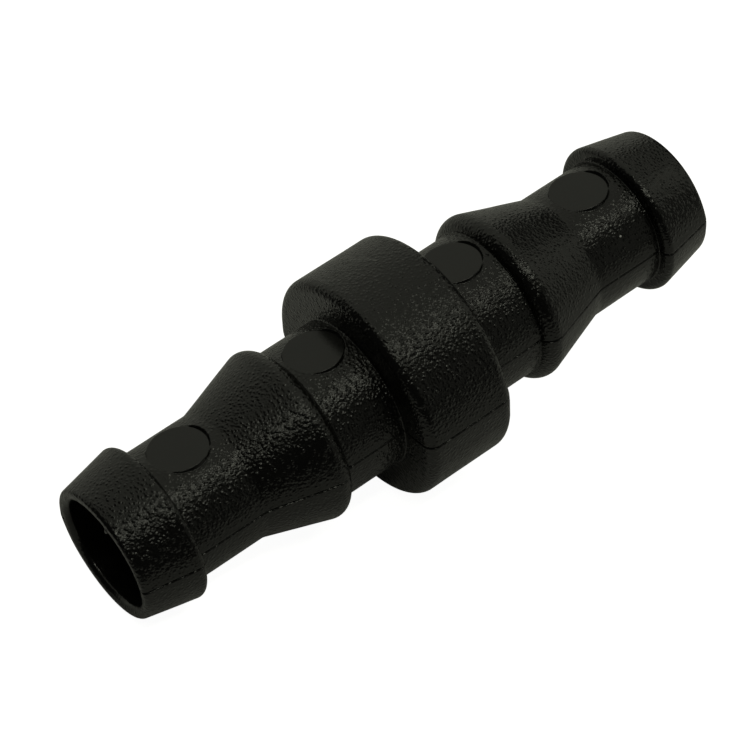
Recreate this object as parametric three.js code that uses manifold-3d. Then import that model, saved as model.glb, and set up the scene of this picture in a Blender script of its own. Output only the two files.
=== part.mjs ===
// Straight barbed joiner for 13 mm irrigation pipe: one injection-moulded tube, open from end to end, with a stop
// collar at mid-length and two barbs on each tail. Millimetres, +X along the bore, +Z up through the four round
// witness marks of the ejector pins, origin at the centre of the bore, in the plane that halves the collar. The two
// mould halves meet in the plane Z = 0.

import * as THREE from "three";
import { mergeVertices } from "three/addons/utils/BufferGeometryUtils.js";
import Module from "manifold-3d";

// Driving dimensions. A radius is taken from the bore's axis, a distance along the axis from mid-length.
const HALF_LENGTH = 27.5;
const COLLAR = { halfWidth: 4.0, radius: 9.45, edge: 0.82 };
const INNER_NECK_RADIUS = 6.3;
const INNER_BARB = { shoulder: 9.41, apex: 7.68, edge: 1.13 };
const OUTER_NECK = { start: 16.39, radius: 5.39, blend: 1.5 };
const OUTER_BARB = { shoulder: 22.55, apex: 6.57, edge: 0.49 };
const TIP = { radius: 5.52, edge: 0.35 };
const BORE = { middle: 4.4, mouth: 4.55, mouthEdge: 0.5 };
const CORNER_RADIUS = 0.24;

// Ejector-pin marks: flat discs a little below the top of each neck.
const PIN = { radius: 2.38, recess: 0.22, depth: 0.4, clearance: 1.0 };
const INNER_PIN_DISTANCE = 6.7;
const OUTER_PIN_DISTANCE = 19.4;

// Fineness of the facets: sides of the round body and of a pin mark, and how far a facet may cut inside an arc.
const BODY_SIDES = 40;
const PIN_SIDES = 24;
const ARC_ERROR = 0.03;

const BLACK_POLYMER = new THREE.MeshStandardMaterial({ color: 0x16160f, roughness: 0.55, metalness: 0.0 });

const wasm = await Module();
wasm.setup();

// A corner of the outline: its place along the axis, its radius, and the radius of its rounding.
function corner(along, radius, rounding = 0) {
  return { at: new THREE.Vector2(radius, along), rounding };
}

// One tail, from the collar's rim out to the flat end, then in over the rounded mouth to the bore's wall.
function tailCorners() {
  return [
    corner(COLLAR.halfWidth, COLLAR.radius, COLLAR.edge),
    corner(COLLAR.halfWidth, INNER_NECK_RADIUS, CORNER_RADIUS),
    corner(INNER_BARB.shoulder, INNER_NECK_RADIUS, CORNER_RADIUS),
    corner(INNER_BARB.shoulder, INNER_BARB.apex, INNER_BARB.edge),
    corner(OUTER_NECK.start, OUTER_NECK.radius, OUTER_NECK.blend),
    corner(OUTER_BARB.shoulder, OUTER_NECK.radius, CORNER_RADIUS),
    corner(OUTER_BARB.shoulder, OUTER_BARB.apex, OUTER_BARB.edge),
    corner(HALF_LENGTH, TIP.radius, TIP.edge),
    corner(HALF_LENGTH, BORE.mouth, BORE.mouthEdge),
  ];
}

// The same corners on the other tail, in the order that carries the outline on.
function mirrored(corners) {
  return corners.map(({ at, rounding }) => corner(-at.y, at.x, rounding)).reverse();
}

// Points along the arc that rounds one corner between its neighbours, or the corner itself where it is sharp.
function roundedCorner(before, here, after) {
  if (here.rounding === 0) return [here.at.clone()];
  const back = before.at.clone().sub(here.at).normalize();
  const ahead = after.at.clone().sub(here.at).normalize();
  const half = Math.acos(THREE.MathUtils.clamp(back.dot(ahead), -1, 1)) / 2;
  const middle = back.clone().add(ahead).normalize();
  const centre = here.at.clone().addScaledVector(middle, here.rounding / Math.sin(half));
  const tangentLength = here.rounding / Math.tan(half);
  const start = here.at.clone().addScaledVector(back, tangentLength).sub(centre);
  const end = here.at.clone().addScaledVector(ahead, tangentLength).sub(centre);
  const turn = Math.atan2(start.cross(end), start.dot(end));
  const stepTurn = 2 * Math.acos(1 - ARC_ERROR / here.rounding);
  const steps = Math.max(2, Math.ceil(Math.abs(turn) / stepTurn));
  return Array.from({ length: steps + 1 }, (_, i) => {
    return start.clone().rotateAround(new THREE.Vector2(), (turn * i) / steps).add(centre);
  });
}

// The closed outline of the wall's section: both tails outside, and the bore inside, narrowest at mid-length.
function wallOutline() {
  const farTail = tailCorners();
  const corners = [...farTail, corner(0, BORE.middle), ...mirrored(farTail)];
  const count = corners.length;
  const points = corners.flatMap((here, i) => {
    return roundedCorner(corners.at(i - 1), here, corners[(i + 1) % count]);
  });
  return [...points, points[0].clone()];
}

// A lathe geometry turns about +Y, so the turned wall is laid along +X.
function turnedWall() {
  return new THREE.LatheGeometry(wallOutline(), BODY_SIDES).rotateZ(-Math.PI / 2);
}

// An upright round bar that spans two heights at a distance along the axis.
function pinBar(distance, bottom, top) {
  const bar = new THREE.CylinderGeometry(PIN.radius, PIN.radius, top - bottom, PIN_SIDES);
  return bar.rotateX(Math.PI / 2).translate(distance, 0, (bottom + top) / 2);
}

function toSolid(geometry) {
  const bare = geometry.clone();
  bare.deleteAttribute("normal");
  bare.deleteAttribute("uv");
  const merged = mergeVertices(bare, 1e-4);
  const vertProperties = new Float32Array(merged.attributes.position.array);
  const triVerts = new Uint32Array(merged.index.array);
  return new wasm.Manifold(new wasm.Mesh({ numProp: 3, vertProperties, triVerts }));
}

function toGeometry(solid) {
  const { vertProperties, triVerts } = solid.getMesh();
  const geometry = new THREE.BufferGeometry();
  geometry.setAttribute("position", new THREE.BufferAttribute(new Float32Array(vertProperties), 3));
  geometry.setIndex(new THREE.BufferAttribute(new Uint32Array(triVerts), 1));
  geometry.computeVertexNormals();
  return geometry;
}

// Fills the neck up to a pin's flat end, then clears what stands above that end.
function withPinMark(body, distance, neckRadius) {
  const flat = neckRadius - PIN.recess;
  const filling = toSolid(pinBar(distance, flat - PIN.depth, flat));
  const clearing = toSolid(pinBar(distance, flat, neckRadius + PIN.clearance));
  return body.add(filling).subtract(clearing);
}

function joinerBody() {
  let body = toSolid(turnedWall());
  for (const side of [-1, 1]) {
    body = withPinMark(body, side * INNER_PIN_DISTANCE, INNER_NECK_RADIUS);
    body = withPinMark(body, side * OUTER_PIN_DISTANCE, OUTER_NECK.radius);
  }
  const mesh = new THREE.Mesh(toGeometry(body), BLACK_POLYMER);
  mesh.name = "joiner_body";
  return mesh;
}

const joiner = new THREE.Group();
joiner.name = "barbed_hose_joiner";
joiner.add(joinerBody());

export default joiner;
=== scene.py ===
"""Straight barbed joiner for soft irrigation pipe: the finished black moulding on a pale floor, in soft studio light.

The joiner is one injection-moulded piece, so the scene holds one detailed surface for it: the turned wall with its
barbs, collar and bore, the four ejector-pin marks, and the witness lines where the two mould halves met. The shape's
fields are millimetres, and every mesh is metres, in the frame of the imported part: +X along the bore, +Z up through
the pin marks, the mould's parting plane a little above Z = 0.
"""

import logging
import math
from dataclasses import dataclass, field
from enum import Enum

import bmesh
import bpy
import numpy as np
from mathutils import Matrix, Vector


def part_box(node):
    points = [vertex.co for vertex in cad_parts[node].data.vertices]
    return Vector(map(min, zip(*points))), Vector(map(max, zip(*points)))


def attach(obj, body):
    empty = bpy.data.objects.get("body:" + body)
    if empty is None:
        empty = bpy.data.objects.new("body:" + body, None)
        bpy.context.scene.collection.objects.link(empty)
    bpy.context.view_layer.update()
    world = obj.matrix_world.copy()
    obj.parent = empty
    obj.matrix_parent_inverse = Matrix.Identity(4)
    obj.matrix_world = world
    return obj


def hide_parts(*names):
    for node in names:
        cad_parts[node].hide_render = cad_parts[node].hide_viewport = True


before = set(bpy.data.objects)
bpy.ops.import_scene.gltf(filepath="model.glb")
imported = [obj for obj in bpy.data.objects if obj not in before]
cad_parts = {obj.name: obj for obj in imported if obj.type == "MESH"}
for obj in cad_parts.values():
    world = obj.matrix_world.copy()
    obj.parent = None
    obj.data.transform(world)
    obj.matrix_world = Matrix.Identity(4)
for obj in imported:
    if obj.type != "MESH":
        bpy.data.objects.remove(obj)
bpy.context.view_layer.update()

CAD_NODE = "joiner_body"
BODY = "root"
MM = 0.001
FULL_TURN = 2 * math.pi
QUARTER_TURN = math.pi / 2
WHITE = (1.0, 1.0, 1.0, 1.0)

Socket = bpy.types.NodeSocket
Feed = float | Socket

log = logging.getLogger("joiner")


class Tail(Enum):
    """The two hose tails, by the sign of their side of the collar."""

    NEAR = -1
    FAR = 1


@dataclass(frozen=True)
class Corner:
    """A corner of the outline.

    Args:
        along: distance from mid-length along the bore's axis.
        radius: distance from the axis.
        rounding: radius of the arc that rounds the corner, or 0 where it is sharp.
    """

    along: float
    radius: float
    rounding: float = 0.0

    @property
    def at(self) -> np.ndarray:
        """The corner as a point (along, radius)."""
        return np.array([self.along, self.radius])

    def mirrored(self) -> "Corner":
        """The same corner on the other tail."""
        return Corner(-self.along, self.radius, self.rounding)

    def arc(self, before: "Corner", after: "Corner", step: float) -> np.ndarray:
        """Points of the arc that rounds this corner between its neighbours.

        The arc touches both sides at rounding / tan(half the angle between them), and its centre lies on the
        bisector at rounding / sin(half that angle).

        Args:
            before: the corner before this one.
            after: the corner after it.
            step: largest turn from one point to the next, in radians.

        Returns:
            Points as rows of (along, radius), or the corner alone where it is sharp.
        """
        if self.rounding == 0:
            return self.at[None, :]
        back, ahead = (unit(other.at - self.at) for other in (before, after))
        half = math.acos(np.clip(back @ ahead, -1, 1)) / 2
        centre = self.at + unit(back + ahead) * self.rounding / math.sin(half)
        reach = self.rounding / math.tan(half)
        start, end = (self.at + side * reach - centre for side in (back, ahead))
        turn = math.atan2(start[0] * end[1] - start[1] * end[0], start @ end)
        angles = np.linspace(0, turn, max(3, math.ceil(abs(turn) / step) + 1))
        across = np.array([-start[1], start[0]])
        return centre + np.cos(angles)[:, None] * start + np.sin(angles)[:, None] * across


def unit(vector: np.ndarray) -> np.ndarray:
    """The vector at length 1."""
    return vector / np.linalg.norm(vector)


def smoothstep(low: float, high: float, value: np.ndarray) -> np.ndarray:
    """0 below low, 1 above high, and the cubic 3t^2 - 2t^3 between."""
    t = np.clip((value - low) / (high - low), 0, 1)
    return t * t * (3 - 2 * t)


@dataclass
class HoseTail:
    """One tail: the neck and barb next to the collar, the ramp, the outer neck and barb, and the mouth.

    Distances run outwards from mid-length.

    Args:
        length: distance of the mouth's face from mid-length.
        inner_neck, inner_shoulder: the neck's radius by the collar, and where it steps up to its barb.
        inner_barb, inner_edge: the barb's radius at that step, and the rounding of its edge.
        ramp_foot, ramp_blend: where the ramp down from that barb meets the outer neck, and the rounding there.
        outer_neck, outer_shoulder, outer_barb, outer_edge: the same for the outer neck and barb.
        tip, tip_edge: the outside radius at the mouth's face, and its rounding.
        fillet: the rounding at the foot of each shoulder and of the collar.
        mouth, mouth_edge: the bore's radius at the mouth, and its rounding.
    """

    length: float
    inner_neck: float = 6.3
    inner_shoulder: float = 9.41
    inner_barb: float = 7.68
    inner_edge: float = 1.13
    ramp_foot: float = 16.39
    ramp_blend: float = 1.5
    outer_neck: float = 5.39
    outer_shoulder: float = 22.55
    outer_barb: float = 6.57
    outer_edge: float = 0.49
    tip: float = 5.52
    tip_edge: float = 0.35
    fillet: float = 0.12
    mouth: float = 4.55
    mouth_edge: float = 0.5

    def corners(self) -> list[Corner]:
        """The tail's outline from the inner neck to the rounded mouth, without the collar."""
        return [
            Corner(self.inner_shoulder, self.inner_neck, self.fillet),
            Corner(self.inner_shoulder, self.inner_barb, self.inner_edge),
            Corner(self.ramp_foot, self.outer_neck, self.ramp_blend),
            Corner(self.outer_shoulder, self.outer_neck, self.fillet),
            Corner(self.outer_shoulder, self.outer_barb, self.outer_edge),
            Corner(self.length, self.tip, self.tip_edge),
            Corner(self.length, self.mouth, self.mouth_edge),
        ]


@dataclass
class StopCollar:
    """The ring at mid-length that both pipe ends butt against.

    Args:
        radius, half_width: its outside radius, and half its length along the axis.
        edge: the rounding of its two edges.
    """

    radius: float
    half_width: float = 4.0
    edge: float = 0.82


@dataclass
class PinMark:
    """A flat disc that an ejector pin left on a neck, a little below the top of the neck.

    The pin stood against one side of its hole, so the clearance on the other side left a crevice round the disc.

    Args:
        along: the disc's centre along the axis.
        neck: radius of the neck that it lies on.
        recess: how far the flat lies below the top of the neck.
        radius, half_wall: the disc's radius, and half the width of the wall round it.
        lip: how far round the wall the crevice's brink and the disc's edge reach.
        crevice_depth, crevice_half_width: its depth, and how far it reaches to each side of the wall.
        crevice_side: where the crevice is deepest, from +X towards +Y.
        crevice_bias: the crevice's share of its depth square to that side, and what facing that side adds.
        crevice_slope: how steeply the wedge closes, where 1 closes it exactly at its half width.
        crevice_fade: the step between neck and flat below which the crevice fades out.
        closing_rings: how many rings of vertices close in from the window's border to the crevice.
        wall_shares, disc_shares: where rings of vertices cross the wall, in half widths of the crevice, and the disc,
            in radii.
    """

    along: float
    neck: float
    recess: float = 0.22
    radius: float = 2.38
    half_wall: float = 0.012
    lip: float = 0.02
    crevice_depth: float = 0.2
    crevice_half_width: float = 0.075
    crevice_side: float = math.radians(-35)
    crevice_bias: tuple = (0.5, 0.7)
    crevice_slope: float = 1.2
    crevice_fade: float = 0.1
    closing_rings: int = 5
    wall_shares: tuple = (1, 0.6, 0.2, -0.2, -0.6, -1)
    disc_shares: tuple = (0.95, 0.88, 0.76, 0.6, 0.4, 0.2, 0.06)

    @property
    def flat(self) -> float:
        """Height of the flat over the axis."""
        return self.neck - self.recess

    def ring_reaches(self, reach: np.ndarray) -> np.ndarray:
        """Distances from the disc's centre for the rings that carry the patch from its border to the centre.

        Some rings close in evenly on the crevice, some cross it and the wall, and the rest cross the disc.

        Args:
            reach: the border's distance from the disc's centre, one value per spoke.

        Returns:
            One row per ring and one column per spoke.
        """
        brink = self.radius + self.crevice_half_width + self.lip
        closing = np.linspace(0, 1, self.closing_rings + 1)[1:, None]
        outer = reach * (1 - closing) + brink * closing
        wall = self.radius + self.crevice_half_width * np.array(self.wall_shares)
        disc = self.radius * np.array(self.disc_shares)
        inner = np.concatenate([wall, disc])[:, None] * np.ones_like(reach)
        return np.vstack([outer, inner])

    def height(self, along: np.ndarray, across: np.ndarray, swell: np.ndarray) -> np.ndarray:
        """Height over the axis: the round neck outside the wall, the flat inside it, less the crevice between.

        The crevice is a wedge centred on the wall. It is deepest on one side of the disc, and it fades out where the
        neck and the flat have one height.

        Args:
            along: the point's distance from the disc's centre along the axis.
            across: the point's Y.
            swell: how far the neck's skin stands above its nominal radius there.

        Returns:
            The height of each point.
        """
        reach = np.hypot(along, across)
        round_neck = np.sqrt((self.neck + swell) ** 2 - across**2)
        outside = smoothstep(self.radius - self.half_wall, self.radius + self.half_wall, reach)
        facing_side = np.cos(np.arctan2(across, along) - self.crevice_side)
        middle, gain = self.crevice_bias
        share = np.clip(middle + gain * facing_side, 0, 1)
        share = share * smoothstep(0.0, self.crevice_fade, np.abs(round_neck - self.flat))
        slope = self.crevice_slope
        wedge = np.clip(slope - slope * np.abs(reach - self.radius) / self.crevice_half_width, 0, 1)
        return self.flat + (round_neck - self.flat) * outside - self.crevice_depth * share * wedge


@dataclass
class WitnessLine:
    """The line that the meeting mould halves leave along the whole piece, on both sides.

    Each half's draft makes the skin swell a little towards the line, and a narrow slit runs just below it.

    Args:
        lift: how far above the axis the mould's halves met, measured along the skin.
        ridge, ridge_reach: how far the skin swells at the line, and the distance over which it falls to 1/e.
        slit_depth, slit_start, slit_width, slit_wall: the slit's depth, how far below the line it begins, its width,
            and the width of each of its steep walls.
        neck_share: how strongly the slit shows on the necks, against 1 elsewhere.
        collar_fade, shoulder_fade, ramp_fade: the stretches over which it fades at the collar, before the shoulders
            and at the foot of the ramp.
        above, beside, below: where further columns of vertices run, from the line, from the slit's foot, and from
            the line again.
    """

    lift: float = 0.3
    ridge: float = 0.06
    ridge_reach: float = 1.1
    slit_depth: float = 0.35
    slit_start: float = 0.01
    slit_width: float = 0.2
    slit_wall: float = 0.012
    neck_share: float = 0.2
    collar_fade: float = 0.3
    shoulder_fade: float = 0.3
    ramp_fade: float = 1.5
    above: tuple = (-0.5, -0.28, -0.14, -0.06)
    beside: tuple = (0.06, 0.16)
    below: tuple = (0.42, 0.7)

    def places(self) -> np.ndarray:
        """Distances below the line at which columns of vertices run along it."""
        top, foot = self.slit_start, self.slit_start + self.slit_width
        slit = [top, top + self.slit_wall, foot - self.slit_wall, foot]
        return np.array([*self.above, *slit, *(foot + step for step in self.beside), *self.below])

    def offset(self, below: np.ndarray, share: np.ndarray) -> np.ndarray:
        """How far the skin stands out from its nominal shape.

        The ridge falls off as exp(-distance / reach) on both sides of the line, and the slit has steep walls.

        Args:
            below: distance below the line, negative above it.
            share: how strongly the slit shows there, from 0 to 1.

        Returns:
            The offset of each point.
        """
        foot = self.slit_start + self.slit_width
        opened = smoothstep(self.slit_start, self.slit_start + self.slit_wall, below)
        closed = smoothstep(foot - self.slit_wall, foot, below)
        return self.ridge * np.exp(-np.abs(below) / self.ridge_reach) - self.slit_depth * share * (opened - closed)


@dataclass
class FlashScrap:
    """A crumb of flash left on the bore's wall just inside the near mouth.

    Args:
        along: its place along the axis.
        angle: its place round the axis, from +Z towards +Y.
        height, width: how far it stands in, and the distance over which it falls to 1/e.
        rim: the radius beyond which the skin is the tail's outside, which it leaves alone.
    """

    along: float = -27.2
    angle: float = math.radians(-26)
    height: float = 0.55
    width: float = 0.2
    rim: float = 4.85

    def height_at(self, along: np.ndarray, radius: np.ndarray, angle: np.ndarray) -> np.ndarray:
        """How far the bore's wall stands in at each point: a bell curve of the distance from the crumb."""
        round_the_bore = radius * (angle - self.angle)
        distance = np.hypot(along - self.along, round_the_bore)
        return self.height * np.exp(-((distance / self.width) ** 2)) * (radius < self.rim)


@dataclass
class Moulding:
    """The whole joiner as one closed skin.

    The skin is a grid: its rows follow the closed outline of the wall's section, out along the barbs and back
    through the bore, and its columns go once round the axis. Four windows in it are filled with pin-mark patches.

    Args:
        half_length: half the joiner's length.
        collar, tail, line, flash: the collar, the shape of both tails, the witness lines and the crumb of flash.
        bore_middle: the bore's radius at mid-length.
        inner_pin, outer_pin: distances of the pin marks from mid-length.
        columns: how many even columns there would be without the witness lines' own.
        arc_step, row_pitch, bore_pitch: the largest turn between rows on an arc, and the distance between rows on
            straight stretches outside and inside the bore.
        line_clearance: how far even columns stay off a witness line, against its own farthest column.
        window_length, window_margin: a window's half length in radii of its pin mark, and its extra half width.
        seed, wave_count: what the phases of the skin's slow waves are drawn from, and how many there are.
        wave_height, wave_pitch: each wave's height, and the first wave's turn per millimetre with what each adds.
    """

    half_length: float
    collar: StopCollar
    tail: HoseTail = field(init=False)
    line: WitnessLine = field(default_factory=WitnessLine)
    flash: FlashScrap = field(default_factory=FlashScrap)
    bore_middle: float = 4.4
    inner_pin: float = 6.7
    outer_pin: float = 19.4
    columns: int = 200
    arc_step: float = math.radians(9)
    row_pitch: float = 0.3
    bore_pitch: float = 1.0
    line_clearance: float = 1.25
    window_length: float = 2.0
    window_margin: float = 0.3
    seed: int = 7
    wave_count: int = 6
    wave_height: float = 0.003
    wave_pitch: tuple = (0.35, 0.27)

    def __post_init__(self) -> None:
        """Gives the tails the length that the frame has, and draws the phases of the skin's slow waves."""
        self.tail = HoseTail(length=self.half_length)
        draw = np.random.default_rng(self.seed)
        self.waves = draw.uniform(0, FULL_TURN, size=(self.wave_count, 2))

    @classmethod
    def from_box(cls, low: Vector, high: Vector) -> "Moulding":
        """The moulding whose length and collar fill a box given in metres."""
        return cls(half_length=(high[0] - low[0]) / 2 / MM, collar=StopCollar(radius=(high[1] - low[1]) / 2 / MM))

    def corners(self) -> list[Corner]:
        """The closed outline: far side of the collar, far tail, bore, near tail, near side of the collar."""
        far = [
            Corner(self.collar.half_width, self.collar.radius, self.collar.edge),
            Corner(self.collar.half_width, self.tail.inner_neck, self.tail.fillet),
            *self.tail.corners(),
        ]
        near = [corner.mirrored() for corner in reversed(far)]
        return [*far, Corner(0, self.bore_middle), *near]

    def outline(self) -> np.ndarray:
        """The outline's points, with the straight stretches cut to the row pitch, or longer inside the bore."""
        corners = self.corners()
        arcs = [c.arc(corners[i - 1], corners[(i + 1) % len(corners)], self.arc_step) for i, c in enumerate(corners)]
        stretches = []
        for i, arc in enumerate(arcs):
            following = arcs[(i + 1) % len(arcs)][0]
            gap = np.linalg.norm(following - arc[-1])
            inside = max(following[1], arc[-1][1]) <= self.tail.mouth
            steps = max(1, round(gap / (self.bore_pitch if inside else self.row_pitch)))
            between = np.linspace(arc[-1], following, steps + 1)[1:-1]
            stretches += [arc, between]
        return np.vstack(stretches)

    def outward(self, outline: np.ndarray) -> np.ndarray:
        """The outline's outward direction at each point: the chord between its neighbours, turned a quarter."""
        chord = np.roll(outline, -1, axis=0) - np.roll(outline, 1, axis=0)
        across = np.stack([-chord[:, 1], chord[:, 0]], axis=1)
        normals = across / np.linalg.norm(across, axis=1, keepdims=True)
        top = np.argmax(outline[:, 1])
        return normals * np.sign(normals[top, 1])

    def swell(self, along: np.ndarray, angle: np.ndarray) -> np.ndarray:
        """Slow unevenness of the skin: a sum of waves, each a product of one along the axis and one round it."""
        total = np.zeros(np.broadcast(along, angle).shape)
        lowest, step = self.wave_pitch
        for number, (first, second) in enumerate(self.waves):
            pitch = lowest + step * number
            total += np.sin(pitch * along + first) * np.cos((number + 2) * angle + second)
        return self.wave_height * total

    def line_share(self, along: np.ndarray) -> np.ndarray:
        """How strongly the witness slit shows: full on the collar, ramps and barbs, faint on the four necks."""
        tail, line, face, distance = self.tail, self.line, self.collar.half_width, np.abs(along)
        inner = smoothstep(face, face + line.collar_fade, distance)
        inner = inner * (1 - smoothstep(tail.inner_shoulder - line.shoulder_fade, tail.inner_shoulder, distance))
        outer = smoothstep(tail.ramp_foot - line.ramp_fade, tail.ramp_foot, distance)
        outer = outer * (1 - smoothstep(tail.outer_shoulder - line.shoulder_fade, tail.outer_shoulder, distance))
        return 1 - (1 - line.neck_share) * (inner + outer)

    def column_angles(self, radius: np.ndarray) -> tuple[np.ndarray, np.ndarray]:
        """Angles from +Z towards +Y of every column in every row, and each one's distance below a witness line.

        Columns are even but for the two bands at the lines. There they stand at set distances from the line, so
        that the line keeps its width where the radius changes.

        Args:
            radius: each row's radius.

        Returns:
            The angles and the distances, both rows by columns.
        """
        even = np.arange(self.columns) * FULL_TURN / self.columns - math.pi
        places = self.line.places()
        clear = self.line_clearance * places.max() / self.tail.mouth
        lift = self.line.lift / radius[:, None]
        bands = [side * (QUARTER_TURN - lift + places / radius[:, None]) for side in (-1, 1)]
        kept = even[np.abs(np.abs(even) - QUARTER_TURN) > clear]
        every = np.hstack([*bands, np.broadcast_to(kept, (len(radius), len(kept)))])
        every = every[:, np.argsort(every[0])]
        return every, (np.abs(every) - QUARTER_TURN + lift) * radius[:, None]

    def pin_marks(self) -> list[PinMark]:
        """The four pin marks, inner and outer, on both tails."""
        necks = ((self.inner_pin, self.tail.inner_neck), (self.outer_pin, self.tail.outer_neck))
        return [PinMark(along=tail.value * along, neck=neck) for tail in Tail for along, neck in necks]

    def grid(self) -> tuple[np.ndarray, np.ndarray, np.ndarray]:
        """The skin's points, before the windows are cut.

        Each outline point is moved along its outward direction by the slow waves, the witness line and the crumb of
        flash at the mouth, then turned about the axis by the column's angle.

        Returns:
            Points as rows by columns by 3, the outline, and the columns' angles.
        """
        outline = self.outline()
        along, radius = outline[:, :1], outline[:, 1:]
        angles, below = self.column_angles(outline[:, 1])
        outside = smoothstep(self.tail.mouth + self.tail.mouth_edge, self.tail.outer_neck, radius)
        witness = self.line.offset(below, self.line_share(along))
        offset = self.swell(along, angles) + witness * outside
        offset = offset + self.flash.height_at(along, radius, angles)
        moved = outline[:, None, :] + offset[..., None] * self.outward(outline)[:, None, :]
        x, r = moved[..., 0], moved[..., 1]
        return np.stack([x, r * np.sin(angles), r * np.cos(angles)], axis=-1), outline, angles

    def window(self, mark: PinMark, outline: np.ndarray, angles: np.ndarray) -> tuple[np.ndarray, np.ndarray]:
        """The rows and columns that a pin mark's patch replaces.

        Args:
            mark: the pin mark.
            outline: the outline's points.
            angles: the columns' angles, rows by columns.

        Returns:
            Row numbers along the mark's neck, and column numbers across it, each with both ends on the border.
        """
        on_neck = np.isclose(outline[:, 1], mark.neck) & (np.sign(outline[:, 0]) == np.sign(mark.along))
        rows = np.flatnonzero(on_neck & (np.abs(outline[:, 0] - mark.along) < self.window_length * mark.radius))
        reach = math.asin((mark.radius + self.window_margin) / mark.neck)
        columns = np.flatnonzero(np.abs(angles[rows[0]]) <= reach)
        return rows, columns

    def patch(self, mark: PinMark, border: np.ndarray) -> tuple[np.ndarray, np.ndarray]:
        """The points of one pin mark's rings, from just inside its border to its centre.

        Args:
            mark: the pin mark.
            border: the window's border as a loop of points.

        Returns:
            Points as rings by spokes by 3, and each ring point's share of the flat, 1 on the disc.
        """
        spokes = border[:, :2] - np.array([mark.along, 0])
        border_reach = np.linalg.norm(spokes, axis=1)
        towards = spokes / border_reach[:, None]
        reach = mark.ring_reaches(border_reach)
        x = mark.along + reach * towards[:, 0]
        y = reach * towards[:, 1]
        z = mark.height(x - mark.along, y, self.swell(x, np.arcsin(y / mark.neck)))
        return np.stack([x, y, z], axis=-1), 1 - smoothstep(mark.radius - mark.lip, mark.radius + mark.lip, reach)

    def build(self) -> bpy.types.Object:
        """Makes the skin's mesh: the grid's faces outside the windows, then each window's rings and centre.

        Returns:
            The finished piece, at the origin, with the attribute "pin_face" set to 1 on the discs.
        """
        points, outline, angles = self.grid()
        rows, columns = points.shape[:2]
        number = np.arange(rows * columns).reshape(rows, columns)
        beside, above = np.roll(number, -1, axis=1), np.roll(number, -1, axis=0)
        quads = np.stack([number, beside, np.roll(above, -1, axis=1), above], axis=-1)
        keep = np.ones((rows, columns), bool)
        vertices, on_pin = [points.reshape(-1, 3)], [np.zeros(rows * columns)]
        faces, fans = [], []
        count = rows * columns
        for mark in self.pin_marks():
            across, round_axis = self.window(mark, outline, angles)
            keep[across[0]:across[-1], round_axis[0]:round_axis[-1]] = False
            loop = border_loop(number[across[0]:across[-1] + 1, round_axis[0]:round_axis[-1] + 1])
            rings, share = self.patch(mark, points.reshape(-1, 3)[loop])
            ring_numbers = count + np.arange(rings.shape[0] * rings.shape[1]).reshape(rings.shape[:2])
            centre = count + ring_numbers.size
            faces.append(ring_quads(np.vstack([loop, ring_numbers])))
            fans.append(np.stack([ring_numbers[-1], np.roll(ring_numbers[-1], -1), np.full(len(loop), centre)], 1))
            vertices += [rings.reshape(-1, 3), np.array([[mark.along, 0, mark.flat]])]
            on_pin += [share.ravel(), np.ones(1)]
            count = centre + 1
        faces.insert(0, quads[keep])
        return closed_piece(
            "joiner_moulding", np.vstack(vertices), [np.vstack(faces), np.vstack(fans)], np.concatenate(on_pin)
        )


def border_loop(block: np.ndarray) -> np.ndarray:
    """The numbers round the edge of a block, as one loop without a repeat."""
    return np.concatenate([block[:-1, 0], block[-1, :-1], block[:0:-1, -1], block[0, :0:-1]])


def ring_quads(rings: np.ndarray) -> np.ndarray:
    """Quads between each ring of vertex numbers and the next, once round."""
    onward = np.roll(rings, -1, axis=1)
    return np.stack([rings[:-1], onward[:-1], onward[1:], rings[1:]], axis=-1).reshape(-1, 4)


def closed_piece(name: str, points: np.ndarray, faces: list[np.ndarray], on_pin: np.ndarray) -> bpy.types.Object:
    """Makes an object from points in millimetres, without those that no face uses, and turns its faces outwards.

    Args:
        name: the piece's name.
        points: one row per point.
        faces: blocks of faces, each with one row of point numbers per face.
        on_pin: each point's value of the attribute "pin_face".

    Returns:
        The object, linked to the scene, at the origin.
    """
    used = np.unique(np.concatenate([block.ravel() for block in faces]))
    renumbered = np.zeros(len(points), int)
    renumbered[used] = np.arange(len(used))
    mesh = bpy.data.meshes.new(name)
    mesh.from_pydata((points[used] * MM).tolist(), [], [f for block in faces for f in renumbered[block].tolist()])
    shares = mesh.attributes.new("pin_face", "FLOAT", "POINT")
    shares.data.foreach_set("value", on_pin[used].astype(np.float32))
    skin = bmesh.new()
    skin.from_mesh(mesh)
    bmesh.ops.recalc_face_normals(skin, faces=skin.faces)
    skin.to_mesh(mesh)
    skin.free()
    mesh.shade_smooth()
    piece = bpy.data.objects.new(name, mesh)
    bpy.context.scene.collection.objects.link(piece)
    return piece


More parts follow.
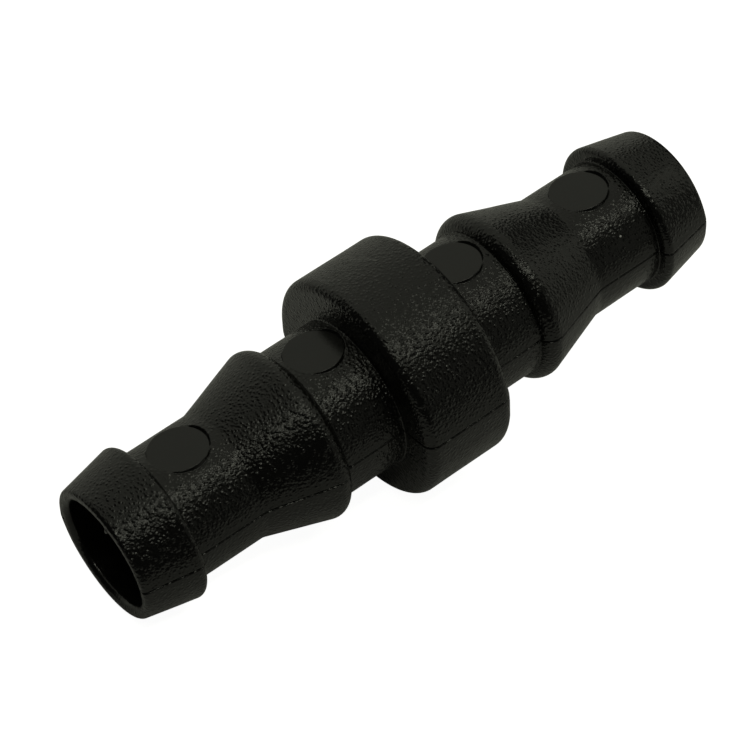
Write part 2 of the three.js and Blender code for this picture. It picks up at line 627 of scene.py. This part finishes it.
class NodeSheet:
    """A node tree with short calls that add nodes and join them."""

    def __init__(self, tree: bpy.types.NodeTree) -> None:
        """Empties the tree and keeps it."""
        self.tree = tree
        tree.nodes.clear()

    def add(self, kind: str, inputs: dict | None = None, **settings: object) -> bpy.types.Node:
        """Adds a node.

        Args:
            kind: the node's type without "ShaderNode".
            inputs: socket names or numbers, each with a value or the output socket that feeds it.
            settings: the node's own properties.

        Returns:
            The node, with its inputs joined.
        """
        node = self.tree.nodes.new("ShaderNode" + kind)
        for key, value in settings.items():
            setattr(node, key, value)
        for key, value in (inputs or {}).items():
            if isinstance(value, Socket):
                self.tree.links.new(value, node.inputs[key])
            else:
                node.inputs[key].default_value = value
        return node

    def maths(self, operation: str, first: Feed, second: Feed = 0.0) -> Socket:
        """The result of a Math node on two numbers or sockets."""
        return self.add("Math", {0: first, 1: second}, operation=operation).outputs[0]

    def vector(self, operation: str, first: object, second: object) -> Socket:
        """The vector that a Vector Math node makes of two vectors or sockets."""
        return self.add("VectorMath", {0: first, 1: second}, operation=operation).outputs["Vector"]

    def measure(self, operation: str, first: object, second: object = (0, 0, 0)) -> Socket:
        """The number that a Vector Math node makes of two vectors or sockets, such as their distance."""
        return self.add("VectorMath", {0: first, 1: second}, operation=operation).outputs["Value"]

    def noise(self, place: Socket, scale: float, detail: float) -> Socket:
        """Noise of about 0 to 1, with so many turns per millimetre and so many finer layers."""
        return self.add("TexNoise", {"Vector": place, "Scale": scale, "Detail": detail}).outputs["Fac"]

    def blend(self, share: Socket, first: object, second: object) -> Socket:
        """The first colour where the share is 0 and the second where it is 1."""
        return self.add("Mix", {"Factor": share, 6: first, 7: second}, data_type="RGBA").outputs[2]

    def span(self, value: Feed, low: float, high: float, to_low: float = 0.0, to_high: float = 1.0) -> Socket:
        """The value carried from low..high to to_low..to_high with soft ends."""
        inputs = {"Value": value, 1: low, 2: high, 3: to_low, 4: to_high}
        return self.add("MapRange", inputs, interpolation_type="SMOOTHSTEP").outputs[0]


@dataclass(frozen=True)
class SparkErodedPlastic:
    """Black polymer moulded against a spark-eroded tool, smooth where the ejector pins met it.

    Lengths are millimetres. A noise is given as its turns per millimetre and its finer layers.

    Args:
        dark, light: the colours that the pigment drifts between.
        drift: the noise that they drift with.
        scuffed: the colour of the scratch and the speck.
        roughness: the least and greatest roughness.
        patches, patch_edge: the noise that the roughness varies with, and the part of it that makes the change.
        index: the polymer's refractive index.
        dome, dome_depth: the pitch and height of the domes that the tool's craters left.
        dome_foot: how far from its middle a dome ends, in pitches.
        ground, ground_share: the noise of the unevenness between the domes, per pitch, and how strong it is.
        pin_share, line_share, bore_share: how much of that grain the pin marks, witness lines and bore keep.
        line_height: how far the witness lines lie above the axis.
        line_edge: the distances from the witness lines over which the grain comes back.
        far_start, far_share: where the far half's more worn tool surface begins, and how much grain it leaves.
        bore_edge: radii between which the bore's smooth wall gives way to the grain.
        scratch, scratch_share: the two ends of a scratch across the collar, and how pale it is.
        scratch_half_width, scratch_edge: half its width, and the shares of that over which it fades.
        speck, speck_radius, speck_edge: the place of a speck on the far outer neck, its size, and how it fades.
    """

    dark: tuple = (0.0035, 0.0035, 0.003, 1.0)
    light: tuple = (0.007, 0.007, 0.006, 1.0)
    drift: tuple = (0.35, 4.0)
    scuffed: tuple = (0.6, 0.6, 0.58, 1.0)
    roughness: tuple = (0.18, 0.25)
    patches: tuple = (1.3, 5.0)
    patch_edge: tuple = (0.3, 0.7)
    index: float = 1.5
    dome: float = 0.31
    dome_depth: float = 0.045
    dome_foot: float = 0.62
    ground: tuple = (1.7, 1.0)
    ground_share: float = 0.9
    pin_share: float = 0.05
    line_share: float = 0.5
    line_height: float = 0.3
    line_edge: tuple = (0.2, 1.0)
    far_start: tuple = (8.0, 14.0)
    far_share: float = 0.65
    bore_edge: tuple = (4.65, 5.0)
    bore_share: float = 0.2
    scratch: tuple = ((-0.02, 3.29, 8.86), (0.91, 1.3, 9.36))
    scratch_half_width: float = 0.08
    scratch_edge: tuple = (0.6, 1.4)
    scratch_share: float = 0.1
    speck: tuple = (19.58, -4.46, 3.02)
    speck_radius: float = 0.09
    speck_edge: tuple = (0.7, 1.3)

    def material(self, name: str) -> bpy.types.Material:
        """Builds the material on Object coordinates, scaled to millimetres."""
        made = bpy.data.materials.new(name)
        made.use_nodes = True
        sheet = NodeSheet(made.node_tree)
        place = sheet.add("TexCoord").outputs["Object"]
        place = sheet.add("Mapping", {"Vector": place, "Scale": (1 / MM,) * 3}).outputs[0]
        on_pin = sheet.add("Attribute", attribute_name="pin_face").outputs["Fac"]

        colour = sheet.blend(sheet.noise(place, *self.drift), self.dark, self.light)
        scratch = sheet.maths("MULTIPLY", self.scratch_mask(sheet, place), self.scratch_share)
        marks = sheet.maths("MAXIMUM", scratch, self.speck_mask(sheet, place))
        surface = sheet.add("BsdfPrincipled", {
            "Base Color": sheet.blend(marks, colour, self.scuffed),
            "Roughness": sheet.span(sheet.noise(place, *self.patches), *self.patch_edge, *self.roughness),
            "IOR": self.index,
            "Normal": self.bump(sheet, place, on_pin),
        })
        sheet.add("OutputMaterial", {"Surface": surface.outputs[0]})
        return made

    def bump(self, sheet: NodeSheet, place: Socket, on_pin: Socket) -> Socket:
        """Round domes left by the tool's craters, with uneven ground between them.

        The height is one dome per cell, rising softly to its middle, plus a share of noise. It is faint on the pin
        marks, along the witness lines and on the polished bore, and fainter on the far tail.

        Args:
            sheet: the material's nodes.
            place: the place on the part, in millimetres.
            on_pin: 1 on the pin marks, 0 elsewhere.

        Returns:
            The normal that the grain gives the skin.
        """
        inputs = {"Vector": place, "Scale": 1 / self.dome}
        reach = sheet.add("TexVoronoi", inputs, feature="F1").outputs["Distance"]
        domes = sheet.span(reach, 0.0, self.dome_foot, 1, 0)
        turns, layers = self.ground
        ground = sheet.noise(place, turns / self.dome, layers)
        height = sheet.maths("ADD", domes, sheet.maths("MULTIPLY", ground, self.ground_share))
        split = sheet.add("SeparateXYZ", {0: place})
        radius = sheet.measure("LENGTH", sheet.vector("MULTIPLY", place, (0, 1, 1)))
        from_line = sheet.maths("ABSOLUTE", sheet.maths("SUBTRACT", split.outputs["Z"], self.line_height))
        shares = [
            sheet.span(on_pin, 0, 1, 1, self.pin_share),
            sheet.span(from_line, *self.line_edge, self.line_share, 1),
            sheet.span(split.outputs["X"], *self.far_start, 1, self.far_share),
            sheet.span(radius, *self.bore_edge, self.bore_share, 1),
        ]
        for share in shares:
            height = sheet.maths("MULTIPLY", height, share)
        return sheet.add("Bump", {"Height": height, "Distance": self.dome_depth * MM, "Strength": 1.0}).outputs[0]

    def scratch_mask(self, sheet: NodeSheet, place: Socket) -> Socket:
        """1 on the light scratch across the collar, 0 elsewhere.

        The distance to the scratch is the length of p - s d, where p runs from its start to the point, d from its
        start to its end, and s = (p . d) / (d . d), held between 0 and 1.
        """
        start, end = (Vector(point) for point in self.scratch)
        course = end - start
        offset = sheet.vector("SUBTRACT", place, start)
        shadow = sheet.measure("DOT_PRODUCT", offset, course / course.length_squared)
        held = sheet.maths("MAXIMUM", sheet.maths("MINIMUM", shadow, 1.0), 0.0)
        nearest = sheet.add("VectorMath", {0: course, "Scale": held}, operation="SCALE").outputs["Vector"]
        inner, outer = (share * self.scratch_half_width for share in self.scratch_edge)
        return sheet.span(sheet.measure("DISTANCE", offset, nearest), inner, outer, 1, 0)

    def speck_mask(self, sheet: NodeSheet, place: Socket) -> Socket:
        """1 on the pale speck on the far outer neck, 0 elsewhere."""
        inner, outer = (share * self.speck_radius for share in self.speck_edge)
        return sheet.span(sheet.measure("DISTANCE", place, self.speck), inner, outer, 1, 0)


@dataclass(frozen=True)
class Panel:
    """A soft rectangular light.

    Args:
        name: the light's name.
        middle: its centre over the floor, in metres.
        towards: the point over the floor that it faces.
        size: its width and height, in metres.
        radiance: how bright it looks.
    """

    name: str
    middle: tuple
    towards: tuple
    size: tuple
    radiance: float

    @property
    def power(self) -> float:
        """Its power: a flat light of area A that looks as bright as R gives off pi R A."""
        return self.radiance * math.pi * self.size[0] * self.size[1]


PANELS = (
    Panel("overhead_front", (0.1, -0.18, 0.36), (0.1, -0.18, 0.0), (0.6, 0.3), 0.24),
    Panel("light_bar", (-0.035, -0.2, 0.35), (-0.035, -0.2, 0.0), (0.41, 0.028), 5.3),
    Panel("overhead_back", (0.1, 0.22, 0.36), (0.1, 0.22, 0.0), (0.6, 0.5), 0.31),
    Panel("back_wall", (0.05, 0.47, 0.18), (0.05, 0.0, 0.1), (1.0, 0.36), 0.3),
    Panel("right_wall", (0.5, -0.15, 0.13), (0.0, 0.0, 0.03), (0.7, 0.3), 0.34),
    Panel("front_right", (0.24, -0.42, 0.12), (0.0, 0.0, 0.02), (0.3, 0.26), 0.13),
)


@dataclass
class Studio:
    """The floor, lights and camera round a joiner that lies tipped on its collar and near barb.

    Places are given over the floor: along the joiner, across it, and up.

    Args:
        outline: the moulding's outline, as rows of (along, radius).
        gap: room left under the joiner for its skin's unevenness, in millimetres.
        roll: how far the joiner is rolled from having its pin marks straight up.
        turn, rise: where the camera stands: turned from square to the joiner towards its near end, and raised.
        reach: distance from the camera to the middle of the collar, in metres.
        lens: the camera's focal length.
        tilt: how far the camera is turned clockwise about the way it looks.
        aside, below: how far the camera is aimed to the left of that point and under it, in metres.
        nearest: how close to the camera things still show, in metres.
        light_colour: the colour of every lamp.
        steepest, lean_steps: the greatest lean tried, and how many leans are tried up to it.
        collar_zone, barb_zone: how close to mid-length the collar lies, and the place along the axis beyond which the
            outer near barb lies, in millimetres.
        floor_left, floor_right, floor_back: the floor's edges, in metres.
        floor_near, floor_far: where its front edge starts on the left and ends on the right.
        paper_colour, paper_glow: the floor's colour, and how bright it is for the camera beside the light on it.
        surround: how bright the surround is for everything but the camera.
    """

    outline: np.ndarray
    gap: float = 0.03
    roll: float = math.radians(-1.8)
    turn: float = math.radians(38.39)
    rise: float = math.radians(39.62)
    reach: float = 0.20975
    lens: float = 131.4
    tilt: float = math.radians(0.27)
    aside: float = 0.001496
    below: float = 0.000784
    nearest: float = 0.01
    light_colour: tuple = (0.98, 1.0, 0.83)
    steepest: float = math.radians(20)
    lean_steps: int = 400
    collar_zone: float = 5.0
    barb_zone: float = -20.0
    floor_left: float = -0.045
    floor_right: float = 0.6
    floor_back: float = 0.6
    floor_near: float = -0.02
    floor_far: float = -0.32
    paper_colour: tuple = (0.8, 0.8, 0.79, 1.0)
    paper_glow: float = 0.95
    surround: float = 0.018

    def __post_init__(self) -> None:
        """Works out the floor's own directions and height from the way the joiner comes to rest."""
        lean, lowest = self.rest()
        self.floor_height = lowest - self.gap
        up = Vector((math.sin(lean), math.cos(lean) * math.sin(self.roll), math.cos(lean) * math.cos(self.roll)))
        along = (Vector((1, 0, 0)) - up * up.x).normalized()
        self.axes = Matrix((along, up.cross(along), up)).transposed()
        log.info("joiner leans %.2f degrees on a floor %.2f mm below it", math.degrees(lean), -self.floor_height)

    def rest(self) -> tuple[float, float]:
        """The lean at which the collar and the outer near barb both touch a floor, and that floor's height.

        A point of the outline stands along * sin(lean) - radius * cos(lean) over the axis's middle, so the lean is
        where the collar's lowest point and the barb's lowest point have one height.

        Returns:
            The lean in radians, and the floor's height over the axis's middle in millimetres.
        """
        along, radius = self.outline[:, 0], self.outline[:, 1]
        leans = np.linspace(0, self.steepest, self.lean_steps)[:, None]
        heights = along * np.sin(leans) - radius * np.cos(leans)
        collar = heights[:, np.abs(along) < self.collar_zone].min(axis=1)
        barb = heights[:, along < self.barb_zone].min(axis=1)
        lean = float(np.interp(0, collar - barb, leans[:, 0]))
        return lean, float(np.interp(lean, leans[:, 0], collar))

    def place(self, along: float, across: float, up: float) -> Vector:
        """A point over the floor, in the part's frame."""
        return self.axes @ Vector((along, across, up + self.floor_height * MM))

    def camera(self) -> bpy.types.Object:
        """Stands the camera at the near end's side, looking down at the collar."""
        level = math.cos(self.rise)
        over = Vector((-math.sin(self.turn) * level, -math.cos(self.turn) * level, math.sin(self.rise)))
        back = self.axes @ over
        right = (self.axes.col[2].cross(back)).normalized()
        stand = back * self.reach
        aim = -right * self.aside - back.cross(right) * self.below
        eye = bpy.data.objects.new("camera", bpy.data.cameras.new("camera"))
        eye.data.lens = self.lens
        eye.data.clip_start = self.nearest
        top = self.axes.col[2] * math.cos(self.tilt) + right * math.sin(self.tilt)
        eye.matrix_world = facing(stand, (stand - aim).normalized(), top)
        bpy.context.scene.collection.objects.link(eye)
        bpy.context.scene.camera = eye
        return eye

    def floor(self) -> bpy.types.Object:
        """A wide pale sheet under the joiner.

        Its left edge is a little beyond the near mouth, and its front edge slants away from the joiner to the right.
        """
        left, right, back = self.floor_left, self.floor_right, self.floor_back
        edge = ((left, self.floor_near), (right, self.floor_far), (right, back), (left, back))
        corners = [self.place(x, y, 0) for x, y in edge]
        mesh = bpy.data.meshes.new("floor")
        mesh.from_pydata(corners, [], [(0, 1, 2, 3)])
        floor = bpy.data.objects.new("floor", mesh)
        mesh.materials.append(self.paper())
        bpy.context.scene.collection.objects.link(floor)
        return floor

    def paper(self) -> bpy.types.Material:
        """White studio paper: it takes shadows, and the camera sees it burnt out to near white."""
        made = bpy.data.materials.new("studio_paper")
        made.use_nodes = True
        sheet = NodeSheet(made.node_tree)
        flat = sheet.add("BsdfDiffuse", {"Color": self.paper_colour})
        seen = sheet.add("LightPath").outputs["Is Camera Ray"]
        glow = sheet.add("Emission", {"Color": WHITE, "Strength": sheet.maths("MULTIPLY", seen, self.paper_glow)})
        both = sheet.add("AddShader", {0: flat.outputs[0], 1: glow.outputs[0]})
        sheet.add("OutputMaterial", {"Surface": both.outputs[0]})
        return made

    def world(self) -> None:
        """A white surround for the camera that lights the joiner only faintly."""
        world = bpy.data.worlds.new("studio")
        bpy.context.scene.world = world
        world.use_nodes = True
        sheet = NodeSheet(world.node_tree)
        seen = sheet.add("LightPath").outputs["Is Camera Ray"]
        strength = sheet.span(seen, 0, 1, self.surround, 1.0)
        back = sheet.add("Background", {"Color": WHITE, "Strength": strength})
        sheet.add("OutputWorld", {"Surface": back.outputs[0]})

    def lamp(self, panel: Panel) -> bpy.types.Object:
        """Stands one panel in the studio, out of the camera's sight."""
        light = bpy.data.lights.new(panel.name, "AREA")
        light.shape = "RECTANGLE"
        light.size, light.size_y = panel.size
        light.energy = panel.power
        light.color = self.light_colour
        lamp = bpy.data.objects.new(panel.name, light)
        stand, target = self.place(*panel.middle), self.place(*panel.towards)
        lamp.matrix_world = facing(stand, (stand - target).normalized(), self.axes.col[1])
        lamp.visible_camera = False
        bpy.context.scene.collection.objects.link(lamp)
        return lamp

    def lights(self) -> None:
        """A softbox overhead with a bright bar near its front edge, pale walls behind and right, a dim one in front."""
        for panel in PANELS:
            self.lamp(panel)


def facing(stand: Vector, back: Vector, up: Vector) -> Matrix:
    """The placement of a camera or light that stands at a point, with its back and top turned as given."""
    right = up.cross(back).normalized()
    axes = Matrix((right, back.cross(right), back)).transposed().to_4x4()
    axes.translation = stand
    return axes


def main() -> None:
    """Builds the joiner and the studio round it, and reports each piece."""
    logging.basicConfig(level=logging.INFO, format="%(name)s: %(message)s")
    bpy.context.scene.view_settings.view_transform = "Standard"
    moulding = Moulding.from_box(*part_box(CAD_NODE))
    piece = moulding.build()
    piece.data.materials.append(SparkErodedPlastic().material("black_polymer"))
    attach(piece, BODY)
    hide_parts(CAD_NODE)
    log.info("%s: %d points, %d faces", piece.name, len(piece.data.vertices), len(piece.data.polygons))

    studio = Studio(outline=moulding.outline())
    studio.camera()
    studio.floor()
    studio.world()
    studio.lights()


if __name__ == "__main__":
    main()
